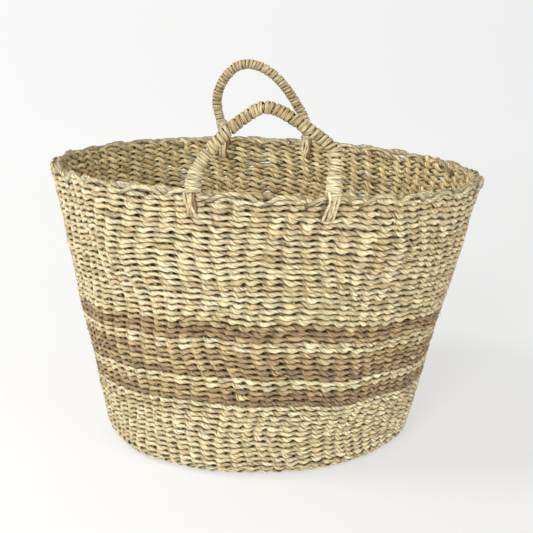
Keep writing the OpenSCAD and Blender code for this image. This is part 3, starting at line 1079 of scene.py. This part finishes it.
def make_whipping(name, handle, foot, seed):
    """Fine turns above a foot, and two layers of turns over its last stretch down to the rim."""

    def along(s):
        return s if foot == "left" else handle.length - s

    fine_from, fine_to = sorted((along(OVERWRAP_END - FINE_LAP), along(WHIPPING_END[foot] + WRAP_LAP)))
    over_from, over_to = sorted((along(-WHIPPING_BELOW), along(OVERWRAP_END)))
    flare = (WHIPPING_FLARE, 0) if foot == "left" else (0, WHIPPING_FLARE)
    fine = handle.winding(fine_from, fine_to, *FINE, WHIPPING, seed, wide=0.50, **SOFT)
    under = handle.winding(over_from, over_to, *UNDER, WHIPPING, seed + 1, flare=flare, **SOFT)
    over = handle.winding(
        over_from + OVER_SHORT, over_to - OVER_SHORT, *OVER, WHIPPING, seed + 2,
        slope=-1, wide=0.26, flare=flare, **SOFT,
    )
    piece = strand_object(
        f"{name}_whipping_strand", [fine, under, over], wrapping, None,
        [f"{name}_whipping"],
    )
    handle.foot_blend(piece)


# A foot cord's way round the border: out from the middle of the wall, and above the rim
FOOT_OUTSIDE = [
    (0.0045, 0.0022), (0.0066, -0.0020), (0.0084, -0.0070), (0.0078, -0.0140),
    (0.0072, -0.0210), (0.0048, -0.0265),
]
FOOT_OVER = (0, 0.0026)  # over the border
FOOT_THROUGH = (0, -0.0280)  # through the wall
FOOT_DEPTH = 0.028
FOOT_PITCH = 0.0039  # from one cord to the next
FOOT_CLOSE = 0.70  # the share of that over the border
FOOT_OPEN = 0.15  # and how much more there is at the bottom
FOOT_SHORTER = (0.88, 1.0)  # how far down each cord reaches, against the way above
FOOT_OUT = (0.94, 1.04)  # how far out it lies, against the way above
FOOT_STRAY = 0.0008
FOOT_HALF = (0.0016, 0.0017)
FOOT_LAY = 0.013


def make_foot_cords(name, angle, slant, side, last, seed):
    """Three straw cords and a last one with its own colours, round the border and through the wall.

    slant is how far the cords lean sideways on their way down, and side the side that the last one is on.
    """
    inside = [(-out, rise) for out, rise in FOOT_OUTSIDE[::-1]]
    loop = smooth_path([FOOT_OVER, *FOOT_OUTSIDE, FOOT_THROUGH, *inside], 6, closed=True)
    out, rise = loop[:, 0], loop[:, 1]
    depth = np.clip(-rise / FOOT_DEPTH, 0, 1)
    rng = np.random.default_rng(seed)
    a = math.radians(angle)
    along = np.array([-math.sin(a), math.cos(a), 0])
    sweeps = []
    for k, palette in enumerate((STRAW, STRAW, STRAW, last)):
        beside = side * (k - 1.5) * FOOT_PITCH * (FOOT_CLOSE + FOOT_OPEN * depth) + slant * depth
        stray = ripple(rng, 1, np.linspace(0, 1, len(loop))[None, :], 1, (1, 4))[0]
        beside = beside + FOOT_STRAY * stray
        height = rim_z(a) + rise * rng.uniform(*FOOT_SHORTER)
        path = wall_point(a + 0 * out, height, HALF_WALL - out * rng.uniform(*FOOT_OUT))
        path = path + beside[:, None] * along
        out_way = np.cross(unit(np.gradient(path, axis=0)), along)
        out_way = out_way * np.sign(np.sum(out_way * (path - path.mean(0)), -1, keepdims=True))
        # Painted shade on each cord's long edges, where the cords lie side by side
        sweeps.append(plain_strands(
            path[None], out_way[None], *FOOT_HALF, palette, seed + k, lay=FOOT_LAY, run=0.03, edge=0.75
        ))
    strand_object(f"{name}_strands", sweeps, cordage, "basket", [f"{name}_cords"])


LOOSE_FIBRES = 80
LOOSE_LENGTH = (0.007, 0.018)
LOOSE_HALF = (0.0004, 0.0005)
LOOSE_TAPER = 0.008
LOOSE_RINGS = 9


def make_loose_fibres():
    """Fibre ends that have worked loose and stand a little off the weave."""
    rng = np.random.default_rng(300)
    count = LOOSE_FIBRES
    a = rng.uniform(0, 2 * math.pi, count)
    row = rng.uniform(-2, WALL_ROWS - 1, count)
    start, out, up = skin_frame(a, row)
    along = np.cross(up, out)
    way = along * rng.choice([-1, 1], (count, 1)) * rng.uniform(0.5, 1.0, (count, 1))
    way = way + up * rng.uniform(-0.8, 0.5, (count, 1)) + out * rng.uniform(0.05, 0.45, (count, 1))
    length = rng.uniform(*LOOSE_LENGTH, (count, 1, 1))
    sag = rng.uniform(-0.5, 0.2, (count, 1, 1))
    t = np.linspace(0, 1, LOOSE_RINGS)[None, :, None]
    bend = t * unit(way)[:, None] + sag * t * t * up[:, None]
    path = (start + 0.9 * HALF_WALL * out)[:, None] + length * bend
    facing = out[:, None] + 0 * path
    fibres = plain_strands(path, facing, *LOOSE_HALF, LOOSE, 301, taper=LOOSE_TAPER)
    strand_object("loose_fibre_strands", [fibres], cordage, "basket")


def make_handles():
    """Both handles, with the whippings at their feet and the cords that tie them to the rim."""
    front = Handle("front_handle_swing", "front_handle", FRONT_ROUTE, FRONT_LEAN)
    back = Handle("back_handle_swing", "back_handle", BACK_ROUTE, BACK_LEAN)
    make_handle("front_handle", front, 0.0050, 0.0014, 200)
    make_handle("back_handle", back, 0.0044, 0.0012, 220, edge=0.55, hollow=0.30)
    make_whipping("front_left", front, "left", 240)
    make_whipping("front_right", front, "right", 245)
    make_whipping("back_left", back, "left", 250)
    make_whipping("back_right", back, "right", 255)
    make_foot_cords("front_left_foot", 252, 0.002, 1, RUST, 260)
    make_foot_cords("front_right_foot", 285.3, -0.003, 1, LOOSE, 265)
    make_foot_cords("back_left_foot", 104, 0.001, -1, RUST, 270)
    make_foot_cords("back_right_foot", 77, 0.001, -1, RUST, 275)


make_camera()
make_lights()
make_floor()
make_wall()
make_floor_weave()
make_cross_and_spokes()
make_stakes()
make_border()
make_handles()
make_loose_fibres()
